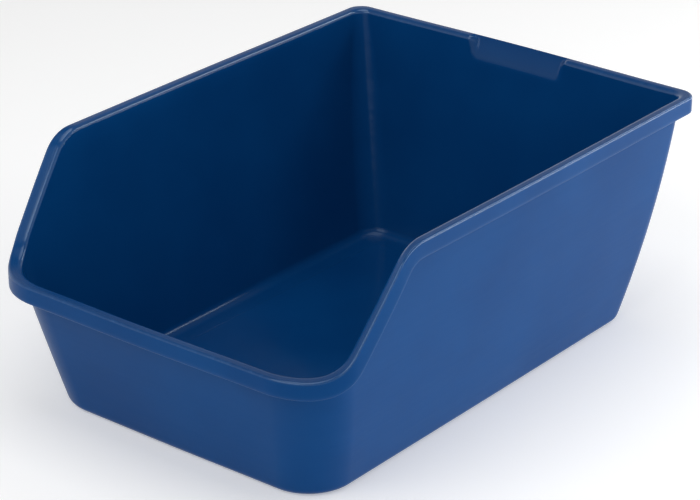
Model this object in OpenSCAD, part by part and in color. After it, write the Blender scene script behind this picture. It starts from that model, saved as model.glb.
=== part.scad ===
// Open high-sided litter pan with a low front entry.
//
// The real pan is one plastic moulding. It is divided here along its natural edges into a floor,
// four walls, four lengths of rim and a hand grip. The regions meet face to face.
// Frame: X across, +Y towards the high back, +Z up. The origin is on the standing surface, under
// the centre of the overall outline.

/* [Overall size] */
// Depth over the rim, front to back
overall_depth = 579; // [550:1:620]
// Width over the rim
overall_width = 427; // [405:1:460]
// Height of the back and of the sides
height = 243; // [225:1:270]
// Height of the front entry
front_height = 140.5; // [120:0.5:155]

/* [Walls] */
// Wall and floor thickness
wall = 2.5; // [2.5:0.5:4]
// Outward lean of the sides, in degrees
side_draft = 9.3; // [7:0.1:11]
// Outward lean of the front, in degrees
front_draft = 13.4; // [10:0.1:15]
// Outward lean of the back, in degrees
rear_draft = 6.9; // [5:0.1:9]
// Outward crown of the sides and of the back at half their height
crown = 6; // [2:0.5:7]
// Radius of the rear corners at the base, seen from above
rear_corner = 27.5; // [24:0.5:40]
// Radius of the rear corners at full height, seen from above
rear_top_corner = 16; // [13:0.5:20]
// Radius of the front corners at the base, seen from above
front_corner = 47; // [40:0.5:56]
// Radius that the front corners would reach at full height, seen from above
front_top_corner = 55.5; // [48:0.5:60]

/* [Floor] */
// Radius that joins the floor to the walls, measured outside
foot_round = 10; // [8:0.5:14]
// Width of the flat ring that the pan stands on
ring_width = 20; // [14:1:30]
// Height of the middle of the floor above that ring
floor_raise = 2; // [1:0.5:2]

/* [Rim] */
// Distance that the rim stands out from the walls
rim_out = 8.5; // [8:0.5:11]
// Height of the down-turned lip, square to the line of the rim
lip_height = 17.5; // [14:0.5:22]
// Thickness of the lip
lip_wall = 2.5; // [2:0.5:3]
// Outer radius of the rim's rear corners
rim_rear_corner = 16.5; // [14:0.5:20]
// Outer radius of the rim's front corners
rim_front_corner = 55.5; // [50:0.5:58]

/* [Side profile] */
// Distance from the front edge of the rim to the foot of the slope
slope_foot = 36; // [30:1:42]
// Angle of the slope, in degrees from level
slope_angle = 52.3; // [46:0.1:58]
// Radius at the head of the slope
slope_head_radius = 40; // [30:1:55]
// Radius at the foot of the slope
slope_foot_radius = 42; // [20:1:50]

/* [Hand grip] */
// Width of the hand grip in the back
grip_width = 124; // [90:1:150]
// Height of the hand grip, down from the rim
grip_height = 24; // [16:1:28]

/* [Hidden] */

// Facets in one quarter turn of a corner, in one bend of the side profile, in the bend between the
// floor and a wall, and in the crown of a wall
corner_steps = 10;
bend_steps = 10;
foot_steps = 4;
crown_steps = 6;
// Thickness of the slices that are hulled into a drafted body
slice = 0.1;
// Least radius of a corner in plan, such as the corners of the raised middle of the floor
least_corner = 11;
// Length of a cutting body beyond what it cuts
beyond = 60;

pan_colour = [0.12, 0.29, 0.50];
floor_colour = [0.08, 0.22, 0.42];

// Where the wall surfaces meet the standing surface
base_half_width = overall_width / 2 - rim_out - height * tan(side_draft);
base_front = -overall_depth / 2 + rim_out + front_height * tan(front_draft);
base_rear = overall_depth / 2 - rim_out - height * tan(rear_draft);

// Mean lean of the walls where they leave the floor, crown included
crown_lean = 4 * crown / height;
mean_lean = atan((tan(side_draft) + tan(rear_draft) + tan(front_draft) + 2 * crown_lean) / 3);
// Distance from the edge of the base to where its underside becomes flat
toe = tan(45 - mean_lean / 2);
foot_reach = foot_round * toe;

// The side profile's two virtual corners, as [y, z]
foot_point = [-overall_depth / 2 + slope_foot, front_height];
head_point = foot_point + (height - front_height) * [1 / tan(slope_angle), 1];

// Outer wall surfaces at height z, up to the top of the walls
function belly(z) = 4 * crown * (z / height) * (1 - z / height);
function side_line(z) = base_half_width + z * tan(side_draft);
function front_line(z) = base_front - z * tan(front_draft);
function rear_line(z) = base_rear + z * tan(rear_draft);

// A quarter turn round [x, y]. The swell fades out towards the front, which has no crown.
function corner_arc(x, y, radius, start, swell) = [
    for (i = [0 : corner_steps])
        let (
            a = start + 90 * i / corner_steps,
            faces_front = pow(max(0, -sin(a)), 2)
        )
        [x, y] + (radius + swell * (1 - faces_front)) * [cos(a), sin(a)]
];

// Plan outline at height z, grown sideways by grow, with the given corner radii before the swell
function outline(z, grow, front_r, rear_r) =
    let (
        half = side_line(z) + grow,
        front = front_line(z) - grow,
        rear = rear_line(z) + grow,
        swell = belly(z)
    )
    concat(
        corner_arc(half - rear_r, rear - rear_r, rear_r, 0, swell),
        corner_arc(-half + rear_r, rear - rear_r, rear_r, 90, swell),
        corner_arc(-half + front_r, front + front_r, front_r, 180, swell),
        corner_arc(half - front_r, front + front_r, front_r, 270, swell)
    );
function graded(base, top, z, grow) = max(base + (top - base) * z / height + grow, least_corner);
function wall_outline(z, grow) =
    outline(
        z, grow,
        graded(front_corner, front_top_corner, z, grow),
        graded(rear_corner, rear_top_corner, z, grow)
    );
function rim_outline(z, grow) =
    let (inset = rim_out - grow)
    outline(z, grow, rim_front_corner - inset, rim_rear_corner - inset);

// Slices [z, grow] up the bend of the given radius between a floor at z = low and the walls
function foot_slices(radius, low, grow) = [
    for (i = [0 : foot_steps])
        let (a = (90 - mean_lean) * i / foot_steps, z = low + radius * (1 - cos(a)))
        [z, grow + radius * (sin(a) - toe) - (z - low) * tan(mean_lean)]
];

// Slices [z, grow] up a crowned wall, above z = low
function wall_slices(low, grow) = [
    for (i = [1 : crown_steps])
        [low + (height - low) * i / crown_steps, grow]
];

// A bend of the side profile round one of its virtual corners: side is -1 for a hollow, 1 for a hump
function bend(corner, radius, side) = [
    for (i = [0 : bend_steps])
        let (reach = radius * tan(slope_angle / 2), a = slope_angle * i / bend_steps)
        corner + [side * reach, -side * radius] + side * radius * [-sin(a), cos(a)]
];

// Height of the rim along Y, as a side profile at the distance drop below the line of the rim
function side_profile(drop) =
    let (
        shift = drop * [tan(slope_angle / 2), -1],
        foot = bend(foot_point + shift, slope_foot_radius + drop, -1),
        head = bend(head_point + shift, slope_head_radius - drop, 1),
        reach = overall_depth / 2 + beyond
    )
    concat(
        [[-reach, -beyond], [-reach, front_height - drop]],
        foot,
        [for (i = [bend_steps : -1 : 0]) head[i]],
        [[reach, height - drop], [reach, -beyond]]
    );

// Everything that lies at least the distance drop below the line of the rim
module below_rim(drop) {
    rotate([90, 0, 90])
        translate([0, 0, -overall_width])
            linear_extrude(2 * overall_width)
                polygon(side_profile(drop));
}

// A slice of the walls, or of the rim, placed at the height z
module wall_slice(z, grow) {
    translate([0, 0, z])
        linear_extrude(slice)
            polygon(wall_outline(min(z, height), grow));
}
module rim_slice(z, grow) {
    translate([0, 0, z])
        linear_extrude(slice)
            polygon(rim_outline(z, grow));
}

// Outer form of the walls, the space inside them, and the bodies that bound the lip
module outer_form() {
    hull()
        for (s = concat(foot_slices(foot_round, 0, 0), wall_slices(foot_round, 0)))
            wall_slice(s[0], s[1]);
}
module cavity() {
    slices = concat(
        foot_slices(foot_round - wall, wall, -wall),
        wall_slices(foot_round, -wall),
        [[height + beyond, -wall]]
    );
    hull()
        for (s = slices)
            wall_slice(s[0], s[1]);
}
module rim_form(grow) {
    low = front_height - 2 * lip_height;
    hull()
        for (s = concat([[low, grow]], wall_slices(low, grow)))
            rim_slice(s[0], s[1]);
}

// Flat plate with the outline of the base drawn in by inset, from low to high
module plate(inset, low, high) {
    translate([0, 0, low])
        linear_extrude(high - low)
            polygon(wall_outline(0, -inset));
}

// Plan wedges that meet on the diagonals of the four corners
module wedge(points) {
    translate([0, 0, -1])
        linear_extrude(height + beyond)
            polygon(points);
}
far = overall_depth;
rear_apex = [0, base_rear - base_half_width];
front_apex = [0, base_front + base_half_width];
module rear_region() { wedge([rear_apex, rear_apex + [far, far], rear_apex + [-far, far]]); }
module front_region() { wedge([front_apex, front_apex + [-far, -far], front_apex + [far, -far]]); }
module side_region(side) {
    wedge([front_apex, front_apex + [side * far, -far], rear_apex + [side * far, far], rear_apex]);
}

// All four walls, from the bend of the floor up to the underside of the rim
module wall_band() {
    difference() {
        intersection() {
            outer_form();
            below_rim(wall);
        }
        cavity();
        plate(foot_reach, -1, wall);
    }
}

// The whole rim: a flange on top of the walls and a lip that hangs from its outer edge
module rim_band() {
    difference() {
        intersection() {
            rim_form(rim_out);
            below_rim(0);
        }
        below_rim(lip_height);
        intersection() {
            rim_form(rim_out - lip_wall);
            below_rim(wall);
        }
        cavity();
    }
}

// Inner face of the back wall and inner face of the lip, at height z
function wall_inside(z) = rear_line(z) + belly(z) - wall;
function lip_inside(z) = rear_line(z) + belly(z) + rim_out - lip_wall;

grip_bottom = height - grip_height;
// Room that the grip takes out of the back wall and of the flange
module grip_window() {
    translate([-grip_width / 2, 0, 0])
        rotate([90, 0, 90])
            linear_extrude(grip_width)
                polygon([
                    [wall_inside(grip_bottom) - wall, grip_bottom],
                    [lip_inside(grip_bottom), grip_bottom],
                    [lip_inside(height), height],
                    [lip_inside(height), height + 1],
                    [wall_inside(height) - wall, height + 1]
                ]);
}

module floor_panel() {
    color(floor_colour)
        plate(foot_reach + ring_width, floor_raise, floor_raise + wall);
}

module foot_ring() {
    color(floor_colour)
        difference() {
            plate(foot_reach, 0, wall);
            plate(foot_reach + ring_width, -1, wall + 1);
        }
}

module front_wall() {
    color(pan_colour)
        intersection() {
            wall_band();
            front_region();
        }
}

module rear_wall() {
    color(pan_colour)
        difference() {
            intersection() {
                wall_band();
                rear_region();
            }
            grip_window();
        }
}

module side_wall(side) {
    color(pan_colour)
        intersection() {
            wall_band();
            side_region(side);
        }
}
module left_wall() { side_wall(-1); }
module right_wall() { side_wall(1); }

module front_rim() {
    color(pan_colour)
        intersection() {
            rim_band();
            front_region();
        }
}

module rear_rim() {
    color(pan_colour)
        difference() {
            intersection() {
                rim_band();
                rear_region();
            }
            grip_window();
        }
}

module side_rim(side) {
    color(pan_colour)
        intersection() {
            rim_band();
            side_region(side);
        }
}
module left_rim() { side_rim(-1); }
module right_rim() { side_rim(1); }

// A sloping web from the back wall up to the top of the lip, with a cheek at each end
module hand_grip() {
    color(pan_colour) {
        translate([-grip_width / 2, 0, 0])
            rotate([90, 0, 90])
                linear_extrude(grip_width)
                    polygon([
                        [wall_inside(grip_bottom), grip_bottom],
                        [wall_inside(grip_bottom) + wall, grip_bottom],
                        [lip_inside(height - wall), height - wall],
                        [lip_inside(height), height]
                    ]);
        for (side = [-1, 1])
            translate([side * (grip_width + lip_wall) / 2 - lip_wall / 2, 0, 0])
                rotate([90, 0, 90])
                    linear_extrude(lip_wall)
                        polygon([
                            [wall_inside(grip_bottom) + wall, grip_bottom],
                            [lip_inside(height - wall), height - wall],
                            [wall_inside(height - wall) + wall, height - wall]
                        ]);
    }
}

floor_panel();
foot_ring();
front_wall();
rear_wall();
left_wall();
right_wall();
front_rim();
rear_rim();
left_rim();
right_rim();
hand_grip();
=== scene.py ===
"""Open high-sided litter pan with a low front entry: one moulding of blue polypropylene.

The pan is one thick sheet swept round the plan outline of its walls. A row of the sheet is a
pair of rings, one on the face that a user sees and one on its back. The rows run from the middle
of the floor out to the walls, up them, over the rim and down its lip. The finished sheet is
divided along its natural edges into the regions that the CAD nodes stand for, and all of them
share its normals, so no seam shows between them.

Lengths are in millimetres until a mesh is made. X is across, +Y is towards the high back and +Z
is up.
"""

import math

import bpy
import numpy as np
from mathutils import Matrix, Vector


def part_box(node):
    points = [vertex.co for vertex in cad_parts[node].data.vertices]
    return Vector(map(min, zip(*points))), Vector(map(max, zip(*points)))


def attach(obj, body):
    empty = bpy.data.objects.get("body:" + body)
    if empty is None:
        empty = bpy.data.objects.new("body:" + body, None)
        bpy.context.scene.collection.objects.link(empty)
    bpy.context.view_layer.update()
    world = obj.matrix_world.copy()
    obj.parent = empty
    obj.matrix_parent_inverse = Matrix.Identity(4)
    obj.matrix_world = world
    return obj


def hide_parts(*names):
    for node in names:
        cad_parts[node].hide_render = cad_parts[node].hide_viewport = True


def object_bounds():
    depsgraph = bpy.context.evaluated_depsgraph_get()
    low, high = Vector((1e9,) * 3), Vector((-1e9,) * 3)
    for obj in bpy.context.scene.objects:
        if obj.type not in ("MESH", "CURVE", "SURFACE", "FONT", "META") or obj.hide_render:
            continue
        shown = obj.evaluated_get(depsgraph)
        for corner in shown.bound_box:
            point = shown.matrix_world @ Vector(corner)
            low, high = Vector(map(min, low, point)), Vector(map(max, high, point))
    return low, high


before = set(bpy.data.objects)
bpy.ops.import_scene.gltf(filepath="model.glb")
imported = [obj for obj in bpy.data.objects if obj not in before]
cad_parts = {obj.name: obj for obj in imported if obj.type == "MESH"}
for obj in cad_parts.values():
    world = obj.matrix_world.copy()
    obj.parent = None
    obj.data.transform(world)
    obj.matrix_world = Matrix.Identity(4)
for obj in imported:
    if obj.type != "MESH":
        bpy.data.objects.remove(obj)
cad_low, cad_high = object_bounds()

BODY = "root"
MM = 0.001

# ------------------------------------------------------------------ sizes read from the frame
panel_low, panel_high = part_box("floor_panel")
lip_low, lip_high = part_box("rear_rim")
grip_low, grip_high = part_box("hand_grip")
HEIGHT = cad_high.z / MM
FLOOR_RAISE = panel_low.z / MM
WALL = (panel_high.z - panel_low.z) / MM
LIP_HEIGHT = (lip_high.z - lip_low.z) / MM
GRIP_BOTTOM = grip_low.z / MM
GRIP_HALF = grip_high.x / MM - WALL

# ------------------------------------------------------------------ other sizes of the moulding
SIDE_LEAN = math.tan(math.radians(9.3))
FRONT_LEAN = math.tan(math.radians(13.4))
REAR_LEAN = math.tan(math.radians(6.9))
CROWN = 6.0  # outward crown of the side and back walls at half their height
REAR_CORNER = (27.5, 16.0)  # corner radii of the walls in plan, at the base and at full height
FRONT_CORNER = (47.0, 55.5)
LEAST_CORNER = 11.0  # radius in plan of the raised middle of the floor
SIDE_BOW = 1.2  # outward bow of each wall in plan, at mid-length
REAR_BOW = 2.8
FRONT_BOW = 2.0
BASE_BOW_SHARE = 0.3  # share of the bow that is left at the base

FOOT_ROUND = 10.0
INNER_ROUND = 11.0
RING_WIDTH = 20.0
STEP_WIDTH = 3.5

FRONT_HEIGHT = 140.5
RIM_OUT = 8.5
RIM_REAR_CORNER = 16.5  # outer corner radii of the rim in plan
RIM_FRONT_CORNER = 55.5
LIP_WALL = 2.5
ROLL = 5.0  # radius of the soft inner edge of the rim
EDGE = 2.4  # radius of the outer edge of the rim
UNDER_ROUND = 2.0  # radius between the outer wall and the underside of the rim
LIP_ROOT = 1.0  # radius between the underside of the rim and the lip
RIM_LINE = 3.0  # distance outside the wall at which the side profile is followed

SLOPE_FOOT = 36.0
SLOPE_ANGLE = math.radians(52.3)
HEAD_ROUND = 40.0
FOOT_BEND = 42.0
GRIP_END = 13.0  # width of the sloping end faces of the grip
RAMP_DROP = 5.5  # distance below the rim at which the back of the grip's ramp meets the lip
RAMP_HOLD = 0.14  # how softly the ramp leaves the wall: 0 would make it straight from its foot

# ------------------------------------------------------------------ how finely the sheet is made
GRIP_REACH = 0.17  # half the grip's share of the back wall, a little more than its width
GRIP_BLEND = 0.04  # share of the back wall that holds one end face of the grip
SLOPE_REACH = 0.30  # share of a side wall, from the front, that holds its slope
FINE_WALL = 0.85  # share of a wall's height above which its rows are closer
FRONT_STATIONS = 24  # stations along the front
SLOPE_STATIONS = (40, 20)  # along a side: in the part that holds the slope, and past it
FRONT_CORNER_STATIONS = 36
REAR_CORNER_STATIONS = 18
LEVEL_STATIONS, END_STATIONS, GRIP_STATIONS = 12, 16, 14  # along the back, round the grip
PANEL_ROWS, STEP_ROWS, RING_ROWS = 10, 8, 4  # rows of the floor, from its middle outwards
BEND_ROWS = 10  # rows in the bend at the foot of the walls, and in the roll of the rim
TOP_ROWS, EDGE_ROWS = 4, 7  # rows of the top of the rim and of its outer edge
LIP_ROWS, LIP_END_ROWS = 6, 6
PROBE = 6.0  # height over which the lean of a wall is measured
RIM_PASSES = 60  # damped steps that settle the height of the rim

# ------------------------------------------------------------------ material, light and camera
PIGMENT_DEEP = (0.001, 0.044, 0.168, 1.0)
PIGMENT_LIGHT = (0.0015, 0.052, 0.190, 1.0)
SCUFF_COLOUR = (0.02, 0.10, 0.28, 1.0)
SCUFF_SHARE = 0.3
GLOSS_INSIDE = 0.25
GLOSS_OUTSIDE = 0.10
GLOSS_EDGE = 0.70  # added on the edges, which handling has burnished
GLOSS_TINT = (0.70, 0.87, 1.0, 1.0)
ROUGH_INSIDE = 0.17
ROUGH_OUTSIDE = 0.34
ROUGH_PATCHES = 0.025  # most that roughness varies from place to place, either way
ROUGH_SCUFF = 0.25  # added to the roughness where an edge is scuffed
SMOOTH_EDGE = -0.12  # added to the roughness on the edges
LIP_END_EDGE = 0.2  # how worn the end of the lip is, beside 1 for the edges of the rim
PLASTIC_IOR = 1.49
WAVE_HEIGHT = 0.0010  # heights of the relief, in metres
FLOW_HEIGHT = 0.00022
GRAIN_HEIGHT = 0.00001
SCRATCH_DEPTH = 0.000006
GRAIN_INSIDE = 0.25  # how strongly the grain shows inside, beside 1 outside

WHITE = (1.0, 1.0, 1.0, 1.0)
TABLE_COLOUR = (0.9, 0.9, 0.9, 1.0)
TABLE_GLOW = 0.29
TABLE_HALF = 6.0  # half the width of the table, in metres
TABLE_LEVEL = -0.0002  # just below the pan, so that the two don't share a plane
TENT_HORIZON = 1.04
TENT_ZENITH = 0.0
SOFT_BOXES = (  # name, place in metres, width and height in metres, power in watts
    ("front", (0.0, -1.6, 1.6), (1.6, 1.0), 11.5),
    ("right_rear", (1.2, 1.1, 0.17), (2.4, 0.3), 20.5),
    ("top", (0.0, 0.0, 2.2), (1.5, 1.5), 13.5),
    ("rim", (0.92, 1.28, 1.20), (1.4, 0.16), 5.0),
)
LIGHT_AIM = (0.0, 0.0, 0.12)

CAMERA_AZIMUTH = math.radians(38.61)
CAMERA_ELEVATION = math.radians(24.61)
CAMERA_TARGET = Vector((0.0003, 0.0067, 0.1136))
CAMERA_DISTANCE = 2.603
CAMERA_LENS = 137.5  # in millimetres


# ------------------------------------------------------------------ stations round the outline
def spread(*stretches):
    """Joins stretches (start, end, count) into one rising list, without the last end."""
    values = []
    for start, end, count in stretches:
        values.extend(start + (end - start) * i / count for i in range(count))
    return values


def mirrored(values):
    """The same fractions counted from the other end."""
    return [1.0 - v for v in reversed(values[1:] + [1.0])]


# Corners 0 to 3 are front right, rear right, rear left and front left. A station lies on the arc
# of one corner or on the straight between two. Its outward direction is the same at every height.
stations = []  # (corner behind, corner ahead, fraction between them, outward angle, bow, side)


def add_straight(side, behind, ahead, angle, bow, fractions):
    for u in fractions:
        stations.append((behind, ahead, u, angle, bow * math.sin(math.pi * u) ** 2, side))


def add_corner(corner, first_side, second_side, start, count):
    for i in range(count):
        side = first_side if 2 * i < count else second_side
        stations.append((corner, corner, 0.0, start + 90.0 * i / count, 0.0, side))


even = spread((0.0, 1.0, FRONT_STATIONS))
with_slope = spread(
    (0.0, SLOPE_REACH, SLOPE_STATIONS[0]),
    (SLOPE_REACH, 1.0, SLOPE_STATIONS[1]),
)
with_grip = spread(
    (0.0, 0.5 - GRIP_REACH, LEVEL_STATIONS),
    (0.5 - GRIP_REACH, 0.5 - GRIP_REACH + GRIP_BLEND, END_STATIONS),
    (0.5 - GRIP_REACH + GRIP_BLEND, 0.5 + GRIP_REACH - GRIP_BLEND, GRIP_STATIONS),
    (0.5 + GRIP_REACH - GRIP_BLEND, 0.5 + GRIP_REACH, END_STATIONS),
    (0.5 + GRIP_REACH, 1.0, LEVEL_STATIONS),
)
add_straight("front", 3, 0, -90.0, FRONT_BOW, even)
add_corner(0, "front", "right", -90.0, FRONT_CORNER_STATIONS)
add_straight("right", 0, 1, 0.0, SIDE_BOW, with_slope)
add_corner(1, "right", "rear", 0.0, REAR_CORNER_STATIONS)
add_straight("rear", 1, 2, 90.0, REAR_BOW, with_grip)
add_corner(2, "rear", "left", 90.0, REAR_CORNER_STATIONS)
add_straight("left", 2, 3, 180.0, SIDE_BOW, mirrored(with_slope))
add_corner(3, "left", "front", 180.0, FRONT_CORNER_STATIONS)

count = len(stations)
index = np.arange(count)
behind = np.array([s[0] for s in stations])
ahead = np.array([s[1] for s in stations])
between = np.array([s[2] for s in stations])
outward_angle = np.radians([s[3] for s in stations])
bow = np.array([s[4] for s in stations])
sides = [s[5] for s in stations]
at_rear = np.array([side == "rear" for side in sides])
outward = np.stack([np.cos(outward_angle), np.sin(outward_angle)], axis=1)
faces_front = np.clip(-outward[:, 1], 0.0, 1.0) ** 2


# ------------------------------------------------------------------ rings of the sheet
base_half = cad_high.x / MM - RIM_OUT - HEIGHT * SIDE_LEAN
base_front = cad_low.y / MM + RIM_OUT + FRONT_HEIGHT * FRONT_LEAN
base_rear = cad_high.y / MM - RIM_OUT - HEIGHT * REAR_LEAN
corner_signs = np.array([[1, -1], [1, 1], [-1, 1], [-1, -1]])


def smooth(low, high, value):
    """0 below low and 1 above high, with a smooth rise between them."""
    t = np.clip((value - low) / (high - low), 0.0, 1.0)
    return t * t * (3.0 - 2.0 * t)


def plan(z, growth):
    """Plan points at heights z, at the distance growth outside the walls.

    The corners go from the radius of the walls to that of the rim as growth goes from 0 to
    RIM_OUT.
    """
    z = np.broadcast_to(np.asarray(z, float), (count,))
    growth = np.broadcast_to(np.asarray(growth, float), (count,))
    rise = z / HEIGHT
    rim_share = np.clip(growth / RIM_OUT, 0.0, 1.0)

    def radius(corner, rim_corner):
        wall = np.maximum(corner[0] + (corner[1] - corner[0]) * rise + growth, LEAST_CORNER)
        return wall + (rim_corner - RIM_OUT + growth - wall) * rim_share

    def mixed(table):
        return table[behind, index] * (1.0 - between) + table[ahead, index] * between

    front_radius = radius(FRONT_CORNER, RIM_FRONT_CORNER)
    rear_radius = radius(REAR_CORNER, RIM_REAR_CORNER)
    radii = np.stack([front_radius, rear_radius, rear_radius, front_radius])
    half = base_half + z * SIDE_LEAN + growth
    front = base_front - z * FRONT_LEAN - growth
    rear = base_rear + z * REAR_LEAN + growth
    centre_x = np.stack([half, half, -half, -half]) - radii * corner_signs[:, :1]
    centre_y = np.stack([front, rear, rear, front]) - radii * corner_signs[:, 1:]

    belly = CROWN * (1.0 - faces_front) * 4.0 * rise * (1.0 - rise)
    reach = mixed(radii) + belly + bow * (BASE_BOW_SHARE + (1.0 - BASE_BOW_SHARE) * rise)
    return np.stack([mixed(centre_x), mixed(centre_y)], axis=1) + outward * reach[:, None]


def ring(z, growth, level=None):
    """One ring of points: the plan at height z, lifted to the given level."""
    points = np.empty((count, 3))
    points[:, :2] = plan(z, growth)
    points[:, 2] = z if level is None else level
    return points


# ------------------------------------------------------------------ height of the rim
slope_rise = math.tan(SLOPE_ANGLE)
half_turn = math.tan(SLOPE_ANGLE / 2)


def profile(y, drop=0.0):
    """Height at depth y of the side profile at the distance drop below the line of the rim.

    The profile is a level front, a hollow bend, a slope, a humped bend and the level sides.
    """
    low, high = FRONT_HEIGHT - drop, HEIGHT - drop
    hollow, hump = FOOT_BEND + drop, HEAD_ROUND - drop
    foot_y = cad_low.y / MM + SLOPE_FOOT + drop * half_turn
    head_y = foot_y + (high - low) / slope_rise
    past_foot = y - (foot_y - hollow * half_turn)
    short_of_head = (head_y + hump * half_turn) - y
    in_foot = past_foot < hollow * math.sin(SLOPE_ANGLE)
    in_head = short_of_head < hump * math.sin(SLOPE_ANGLE)
    foot_bend = low + hollow - np.sqrt(np.maximum(hollow**2 - past_foot**2, 0.0))
    head_bend = high - hump + np.sqrt(np.maximum(hump**2 - short_of_head**2, 0.0))
    z = np.where(in_foot, foot_bend, low + (y - foot_y) * slope_rise)
    z = np.where(in_head, head_bend, z)
    return np.where(past_foot <= 0.0, low, np.where(short_of_head <= 0.0, high, z))


rim_z = np.full(count, HEIGHT)
for _ in range(RIM_PASSES):
    rim_z = 0.5 * rim_z + 0.5 * profile(plan(rim_z, RIM_LINE)[:, 1])
rim_path = ring(rim_z, RIM_LINE)
run = np.roll(rim_path, -1, axis=0) - np.roll(rim_path, 1, axis=0)
steep = np.linalg.norm(run, axis=1) / np.maximum(np.linalg.norm(run[:, :2], axis=1), 1e-6)


def below(drop):
    """Vertical distance, at each station, to the line that lies drop below the line of the rim."""
    drop = np.asarray(drop, float)
    return rim_z - profile(rim_path[:, 1], drop)


def section(growth, drop):
    """A ring of the rim's section: growth outside the wall, drop below the line of the rim."""
    return ring(rim_z, growth, rim_z - below(drop))


# Outward lean of the wall just below the rim, as the distance out for each millimetre up
lean = ((plan(rim_z, 0.0) - plan(rim_z - PROBE, 0.0)) * outward).sum(axis=1) / PROBE
rim_x = plan(rim_z, 0.0)[:, 0]
grip = np.where(at_rear, 1.0 - smooth(GRIP_HALF - GRIP_END, GRIP_HALF, np.abs(rim_x)), 0.0)

# ------------------------------------------------------------------ rows of the sheet
rows = []  # (ring seen by a user, ring on the back, band, outside share, edge share)


def add_row(seen, back, band, outside, edge=0.0):
    rows.append((seen, back, band, outside, edge))


# Mean lean of the walls where they leave the floor, crown included
base_lean = math.atan((SIDE_LEAN + REAR_LEAN + FRONT_LEAN + 8.0 * CROWN / HEIGHT) / 3.0)
toe = math.tan(math.pi / 4 - base_lean / 2)
bend_end = math.pi / 2 - base_lean


def bend_slice(radius, low, growth, angle):
    """Height and growth on the bend between the floor at level low and the walls."""
    z = low + radius * (1.0 - math.cos(angle))
    return z, growth + radius * (math.sin(angle) - toe) - (z - low) * math.tan(base_lean)


ring_inner = -(FOOT_ROUND * toe + RING_WIDTH)
ring_outer_seen = -(WALL + INNER_ROUND * toe)
ring_outer_back = -FOOT_ROUND * toe
panel_top = FLOOR_RAISE + WALL

panel_edge = plan(0.0, ring_inner)
middle = panel_edge.mean(axis=0)
for share in spread((0.0, 1.0, PANEL_ROWS)):
    flat = middle + (panel_edge - middle) * share
    seen = np.column_stack([flat, np.full(count, panel_top)])
    back = np.column_stack([flat, np.full(count, FLOOR_RAISE)])
    add_row(seen, back, "panel", 0.0)

for share in spread((0.0, 1.0, STEP_ROWS)):
    fall = FLOOR_RAISE * float(smooth(0.0, 1.0, share))
    out = ring_inner + STEP_WIDTH * share
    worn = math.sin(math.pi * share)
    seen, back = ring(0.0, out, panel_top - fall), ring(0.0, out, FLOOR_RAISE - fall)
    add_row(seen, back, "ring", 0.0, worn)

for share in spread((0.0, 1.0, RING_ROWS)):
    seen_out = ring_inner + STEP_WIDTH + (ring_outer_seen - ring_inner - STEP_WIDTH) * share
    back_out = ring_inner + STEP_WIDTH + (ring_outer_back - ring_inner - STEP_WIDTH) * share
    add_row(ring(0.0, seen_out, WALL), ring(0.0, back_out, 0.0), "ring", 0.0)

for share in spread((0.0, 1.0, BEND_ROWS)):
    z_seen, out_seen = bend_slice(INNER_ROUND, WALL, -WALL, bend_end * share)
    z_back, out_back = bend_slice(FOOT_ROUND, 0.0, 0.0, bend_end * share)
    add_row(ring(z_seen, out_seen), ring(z_back, out_back), "wall", 0.0)

# The wall rises to where the roll of the rim starts on the seen face, and on the back to where the
# wall bends into the underside of the rim.
wall_foot_seen = bend_slice(INNER_ROUND, WALL, -WALL, bend_end)[0]
wall_foot_back = bend_slice(FOOT_ROUND, 0.0, 0.0, bend_end)[0]
turn_start = np.arctan(steep * lean)
roll_drop = below(ROLL * (1.0 - np.sin(turn_start)))
roll_centre = -WALL - roll_drop * lean + ROLL * np.cos(turn_start)
under_drop = below(WALL + UNDER_ROUND * (1.0 - np.sin(turn_start)))
under_centre = -under_drop * lean + UNDER_ROUND * np.cos(turn_start)

grip_share = (GRIP_BOTTOM - wall_foot_seen) / (HEIGHT - roll_drop.min() - wall_foot_seen)
wall_shares = spread(
    (0.0, 0.1, 4), (0.1, FINE_WALL, 12), (FINE_WALL, grip_share, 4), (grip_share, 1.0, 8),
)
for share in wall_shares:
    if share == grip_share:
        grip_row = len(rows)
    z_seen = wall_foot_seen + (rim_z - roll_drop - wall_foot_seen) * share
    z_back = wall_foot_back + (rim_z - under_drop - wall_foot_back) * share
    add_row(ring(z_seen, -WALL), ring(z_back, 0.0), "wall", 0.0)

for share in spread((0.0, 1.0, BEND_ROWS)):
    turn = turn_start + (math.pi / 2 - turn_start) * share
    inward = 1.0 - np.sin(turn)
    seen = section(roll_centre - ROLL * np.cos(turn), ROLL * inward)
    back = section(under_centre - UNDER_ROUND * np.cos(turn), WALL + UNDER_ROUND * inward)
    add_row(seen, back, "rim", share * 0.5, math.sin(math.pi * share))

lip_inner = RIM_OUT - LIP_WALL
for share in spread((0.0, 1.0, TOP_ROWS)):
    seen = section(roll_centre + (RIM_OUT - EDGE - roll_centre) * share, 0.0)
    back = section(under_centre + (lip_inner - LIP_ROOT - under_centre) * share, WALL)
    add_row(seen, back, "rim", 0.5 + 0.2 * share)

crest_row = len(rows)
for share in spread((0.0, 1.0, EDGE_ROWS)):
    turn = math.pi / 2 * share
    inward, fall = 1.0 - math.sin(turn), 1.0 - math.cos(turn)
    seen = section(RIM_OUT - EDGE * inward, EDGE * fall)
    back = section(lip_inner - LIP_ROOT * inward, WALL + LIP_ROOT * fall)
    add_row(seen, back, "lip", 0.7 + 0.3 * share, math.sin(math.pi * share))

lip_row = len(rows)
lip_round = LIP_WALL / 2
lip_end = LIP_HEIGHT - lip_round
for share in spread((0.0, 1.0, LIP_ROWS)):
    seen = section(RIM_OUT, EDGE + (lip_end - EDGE) * share)
    back = section(lip_inner, WALL + LIP_ROOT + (lip_end - WALL - LIP_ROOT) * share)
    add_row(seen, back, "lip", 1.0, LIP_END_EDGE * float(smooth(0.8, 1.0, share)))

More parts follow.
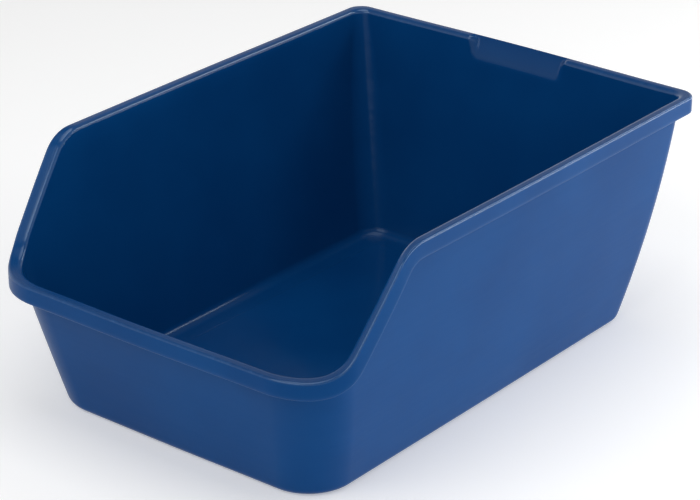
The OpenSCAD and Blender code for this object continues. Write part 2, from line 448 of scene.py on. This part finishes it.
lip_middle = RIM_OUT - lip_round
for share in spread((0.0, 1.0, LIP_END_ROWS)) + [1.0]:
    turn = math.pi / 2 * share
    drop = lip_end + lip_round * math.sin(turn)
    seen = section(lip_middle + lip_round * math.cos(turn), drop)
    back = section(lip_middle - lip_round * math.cos(turn), drop)
    add_row(seen, back, "lip", 1.0, LIP_END_EDGE)

seen = np.array([r[0] for r in rows])
back = np.array([r[1] for r in rows])
bands = [r[2] for r in rows]
outside_share = np.array([r[3] for r in rows])
edge_share = np.array([r[4] for r in rows])
last = len(rows) - 1


# ------------------------------------------------------------------ hand grip
def ramp(points, first, final, end):
    """Moves rows first to final of the gripped stations onto a ramp that rises to end."""
    start = points[first]
    steps = np.linalg.norm(np.diff(points[first : final + 1], axis=0), axis=2)
    along = np.vstack([np.zeros(count), np.cumsum(steps, axis=0)])
    along = along / along[-1]
    for i, share in enumerate(along):
        eased = share - RAMP_HOLD * np.sin(np.pi * share) * (1.0 - share)
        target = start + (end - start) * np.column_stack([eased, eased, share])
        row = points[first + i]
        points[first + i] = row + (target - row) * grip[:, None]


edges = np.repeat(edge_share[:, None], count, axis=1)
edges[grip_row:crest_row] *= 1.0 - grip
ramp(seen, grip_row, crest_row, section(RIM_OUT - EDGE, 0.0))
ramp(back, grip_row, lip_row, section(lip_inner, RAMP_DROP))
# Behind the grip, the rows on the back of the lip share out the height that the ramp leaves them.
for i in range(lip_row, last):
    share = (i - lip_row) / (last - lip_row)
    lowest_top = HEIGHT - RAMP_DROP - (LIP_HEIGHT - RAMP_DROP) * share
    lowered = np.minimum(back[i, :, 2], lowest_top)
    back[i, :, 2] += (lowered - back[i, :, 2]) * grip


# ------------------------------------------------------------------ regions and their meshes
def region_of(i, s):
    """The CAD region that the cell from row i, station s belongs to."""
    band, side = bands[i], sides[s]
    if band == "panel":
        return "floor_panel"
    if band == "ring":
        return "foot_ring"
    gripped = at_rear[s] and max(grip[s], grip[(s + 1) % count]) > 0.0
    if gripped and grip_row <= i < crest_row:
        return "hand_grip"
    return side + ("_wall" if band == "wall" else "_rim")


def sheet_normals(points):
    """Area-weighted vertex normals of the seen face of a sheet of rings."""
    after = np.roll(points, -1, axis=1)
    face = np.cross(points[1:] - after[:-1], after[1:] - points[:-1])
    face += np.roll(face, 1, axis=1)
    normals = np.zeros_like(points)
    normals[:-1] += face
    normals[1:] += face
    return normals


normals_seen = sheet_normals(seen)
normals_back = -sheet_normals(back)
normals_seen[0] = normals_seen[1]
normals_back[0] = normals_back[1]
shared = normals_seen[last] + normals_back[last]
normals_seen[last] = shared
normals_back[last] = shared
normals = np.stack([normals_seen, normals_back])
normals /= np.linalg.norm(normals, axis=3, keepdims=True)
points = np.stack([seen, back]) * MM


def corner(face, i, s):
    """Key of a grid point.

    Row 0 is one point on each face, in the middle of the floor. The two faces share the points of
    the last row, at the end of the lip.
    """
    return (0 if i == last else face, i, 0 if i == 0 else s % count)


def add_attribute(mesh, name, values):
    mesh.attributes.new(name, "FLOAT", "POINT").data.foreach_set("value", values)


def region_mesh(name, cells):
    """One closed mesh of a region: both faces of its cells, and strips along their border."""
    keys, polygons, loop_normals = {}, [], []

    def add_face(corners, flat):
        unique = [c for n, c in enumerate(corners) if c != corners[n - 1]]
        if len(unique) < 3:
            return
        polygons.append([keys.setdefault(c, len(keys)) for c in unique])
        if flat:
            a, b, c = (points[k] for k in unique[:3])
            normal = np.cross(b - a, c - a)
            normal /= max(np.linalg.norm(normal), 1e-12)
            loop_normals.extend([normal] * len(unique))
        else:
            loop_normals.extend(normals[c] for c in unique)

    for i, s in sorted(cells):
        loop = [(i, s), (i, s + 1), (i + 1, s + 1), (i + 1, s)]
        add_face([corner(0, *p) for p in reversed(loop)], flat=False)
        add_face([corner(1, *p) for p in loop], flat=False)
        neighbours = [(i - 1, s), (i, (s + 1) % count), (i + 1, s), (i, (s - 1) % count)]
        for n, neighbour in enumerate(neighbours):
            if neighbour in cells or neighbour[0] < 0 or neighbour[0] == last:
                continue
            p, q = loop[n], loop[(n + 1) % 4]
            add_face([corner(0, *p), corner(0, *q), corner(1, *q), corner(1, *p)], flat=True)

    mesh = bpy.data.meshes.new(name)
    mesh.from_pydata([points[k] for k in keys], [], polygons)
    mesh.polygons.foreach_set("use_smooth", [True] * len(polygons))
    mesh.normals_split_custom_set(loop_normals)
    add_attribute(mesh, "outside", [1.0 if k[0] else outside_share[k[1]] for k in keys])
    add_attribute(mesh, "edge", [edges[k[1], k[2]] for k in keys])
    mesh.update()
    return mesh


# ------------------------------------------------------------------ material
def new_material(name):
    material = bpy.data.materials.new(name)
    material.use_nodes = True
    tree = material.node_tree
    tree.nodes.clear()
    return material, tree


def add_node(tree, kind, inputs=(), **settings):
    """Makes a node. inputs are (socket, value or the output socket to link from)."""
    node = tree.nodes.new(kind)
    for key, value in settings.items():
        setattr(node, key, value)
    for socket, value in inputs:
        if isinstance(value, bpy.types.NodeSocket):
            tree.links.new(value, node.inputs[socket])
        else:
            node.inputs[socket].default_value = value
    return node


def moulded_plastic():
    """Blue polypropylene: glossy inside, satin outside, faintly wavy, with worn edges."""
    material, tree = new_material("blue_polypropylene")
    place = add_node(tree, "ShaderNodeTexCoord").outputs["Object"]
    outside = add_node(tree, "ShaderNodeAttribute", attribute_name="outside").outputs["Fac"]
    edge = add_node(tree, "ShaderNodeAttribute", attribute_name="edge").outputs["Fac"]

    def stretched(scale):
        inputs = [("Vector", place), ("Scale", scale)]
        return add_node(tree, "ShaderNodeMapping", inputs).outputs["Vector"]

    def noise(scale, detail=2.0, rough=0.5, vector=place):
        inputs = [("Vector", vector), ("Scale", scale), ("Detail", detail), ("Roughness", rough)]
        return add_node(tree, "ShaderNodeTexNoise", inputs).outputs["Fac"]

    def ranged(value, low, high, to_low, to_high):
        inputs = [(0, value), (1, low), (2, high), (3, to_low), (4, to_high)]
        return add_node(tree, "ShaderNodeMapRange", inputs).outputs[0]

    def maths(operation, a, b):
        inputs = [(0, a), (1, b)]
        return add_node(tree, "ShaderNodeMath", inputs, operation=operation).outputs[0]

    def mixed_colour(share, a, b):
        inputs = [("Factor", share), ("A", a), ("B", b)]
        return add_node(tree, "ShaderNodeMix", inputs, data_type="RGBA").outputs["Result"]

    def bumped(height, distance, normal=None, strength=1.0):
        inputs = [("Strength", strength), ("Distance", distance), ("Height", height)]
        if normal:
            inputs.append(("Normal", normal))
        return add_node(tree, "ShaderNodeBump", inputs).outputs["Normal"]

    # Uneven pigment, and a paler bloom where handling has scuffed the edges.
    cloud = ranged(noise(9.0, detail=3.0), 0.35, 0.65, 0.0, 1.0)
    pigment = mixed_colour(cloud, PIGMENT_DEEP, PIGMENT_LIGHT)
    worn = ranged(noise(160.0, detail=4.0, rough=0.65), 0.45, 0.75, 0.0, SCUFF_SHARE)
    scuff = maths("MULTIPLY", edge, worn)
    colour = mixed_colour(scuff, pigment, SCUFF_COLOUR)

    # Gloss: the inside is polished by the mould, the outside is satin, the edges are burnished.
    satin = ranged(outside, 0.0, 1.0, ROUGH_INSIDE, ROUGH_OUTSIDE)
    patchy = ranged(noise(14.0, detail=4.0, rough=0.6), 0.3, 0.7, -ROUGH_PATCHES, ROUGH_PATCHES)
    roughness = maths("ADD", maths("ADD", satin, patchy), maths("MULTIPLY", scuff, ROUGH_SCUFF))
    roughness = maths("ADD", roughness, maths("MULTIPLY", edge, SMOOTH_EDGE))
    gloss = ranged(outside, 0.0, 1.0, GLOSS_INSIDE, GLOSS_OUTSIDE)
    gloss = maths("ADD", gloss, maths("MULTIPLY", edge, GLOSS_EDGE))

    # Relief: slow waves from uneven cooling, level flow streaks, hairline scratches, fine grain.
    waves = bumped(noise(6.5, detail=1.0), WAVE_HEIGHT)
    streaks = noise(1.0, vector=stretched((5.0, 5.0, 75.0)))
    flow = bumped(streaks, FLOW_HEIGHT, waves)
    threads = noise(1.0, detail=3.0, rough=0.7, vector=stretched((30.0, 420.0, 60.0)))
    hairlines = ranged(threads, 0.62, 0.68, 1.0, 0.0)
    scratched = bumped(hairlines, SCRATCH_DEPTH, flow)
    grain = noise(900.0)
    grain_share = ranged(outside, 0.0, 1.0, GRAIN_INSIDE, 1.0)
    grained = bumped(grain, GRAIN_HEIGHT, scratched, grain_share)

    shader = add_node(tree, "ShaderNodeBsdfPrincipled", [
        ("Base Color", colour), ("Roughness", roughness), ("IOR", PLASTIC_IOR),
        ("Specular IOR Level", gloss), ("Specular Tint", GLOSS_TINT), ("Normal", grained),
    ])
    add_node(tree, "ShaderNodeOutputMaterial", [("Surface", shader.outputs["BSDF"])])
    return material


regions = {}
for i in range(last):
    for s in range(count):
        regions.setdefault(region_of(i, s), set()).add((i, s))

plastic = moulded_plastic()
for name, cells in sorted(regions.items()):
    mesh = region_mesh(name, cells)
    mesh.materials.append(plastic)
    piece = bpy.data.objects.new("pan_" + name, mesh)
    bpy.context.scene.collection.objects.link(piece)
    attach(piece, BODY)
    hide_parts(name)


# ------------------------------------------------------------------ floor, light and camera
def studio_floor():
    """A white table that glows a little, so that light also comes up from under the rim."""
    material, tree = new_material("white_table")
    surface = add_node(tree, "ShaderNodeBsdfDiffuse", [("Color", TABLE_COLOUR)])
    glow = add_node(tree, "ShaderNodeEmission", [("Color", WHITE), ("Strength", TABLE_GLOW)])
    both = add_node(tree, "ShaderNodeAddShader", [(0, surface.outputs[0]), (1, glow.outputs[0])])
    add_node(tree, "ShaderNodeOutputMaterial", [("Surface", both.outputs[0])])
    mesh = bpy.data.meshes.new("studio_floor")
    corners = [
        (x * TABLE_HALF, y * TABLE_HALF, TABLE_LEVEL)
        for x, y in ((-1, -1), (1, -1), (1, 1), (-1, 1))
    ]
    mesh.from_pydata(corners, [], [(0, 1, 2, 3)])
    mesh.materials.append(material)
    table = bpy.data.objects.new("studio_floor", mesh)
    bpy.context.scene.collection.objects.link(table)


def studio_world():
    """A white tent, whose light grades from the horizon to the zenith."""
    world = bpy.data.worlds.new("white_tent")
    world.use_nodes = True
    tree = world.node_tree
    tree.nodes.clear()
    direction = add_node(tree, "ShaderNodeTexCoord").outputs["Generated"]
    up = add_node(tree, "ShaderNodeSeparateXYZ", [("Vector", direction)]).outputs["Z"]
    strength = add_node(tree, "ShaderNodeMapRange", [
        (0, up), (1, 0.0), (2, 1.0), (3, TENT_HORIZON), (4, TENT_ZENITH),
    ]).outputs[0]
    inputs = [("Color", WHITE), ("Strength", strength)]
    background = add_node(tree, "ShaderNodeBackground", inputs)
    add_node(tree, "ShaderNodeOutputWorld", [("Surface", background.outputs[0])])
    bpy.context.scene.world = world


def soft_box(name, place, size, power):
    light = bpy.data.lights.new(name, "AREA")
    light.shape = "RECTANGLE"
    light.size, light.size_y = size
    light.energy = power
    lamp = bpy.data.objects.new(name, light)
    lamp.location = place
    lamp.rotation_euler = (Vector(LIGHT_AIM) - Vector(place)).to_track_quat("-Z", "Y").to_euler()
    bpy.context.scene.collection.objects.link(lamp)


def photo_camera():
    back_direction = Vector((
        math.sin(CAMERA_AZIMUTH) * math.cos(CAMERA_ELEVATION),
        -math.cos(CAMERA_AZIMUTH) * math.cos(CAMERA_ELEVATION),
        math.sin(CAMERA_ELEVATION),
    ))
    data = bpy.data.cameras.new("camera")
    data.lens = CAMERA_LENS
    camera = bpy.data.objects.new("camera", data)
    camera.location = CAMERA_TARGET + back_direction * CAMERA_DISTANCE
    camera.rotation_euler = (-back_direction).to_track_quat("-Z", "Y").to_euler()
    bpy.context.scene.collection.objects.link(camera)
    bpy.context.scene.camera = camera


studio_floor()
studio_world()
for name, place, size, power in SOFT_BOXES:
    soft_box(name, place, size, power)
photo_camera()
bpy.context.scene.view_settings.view_transform = "Standard"
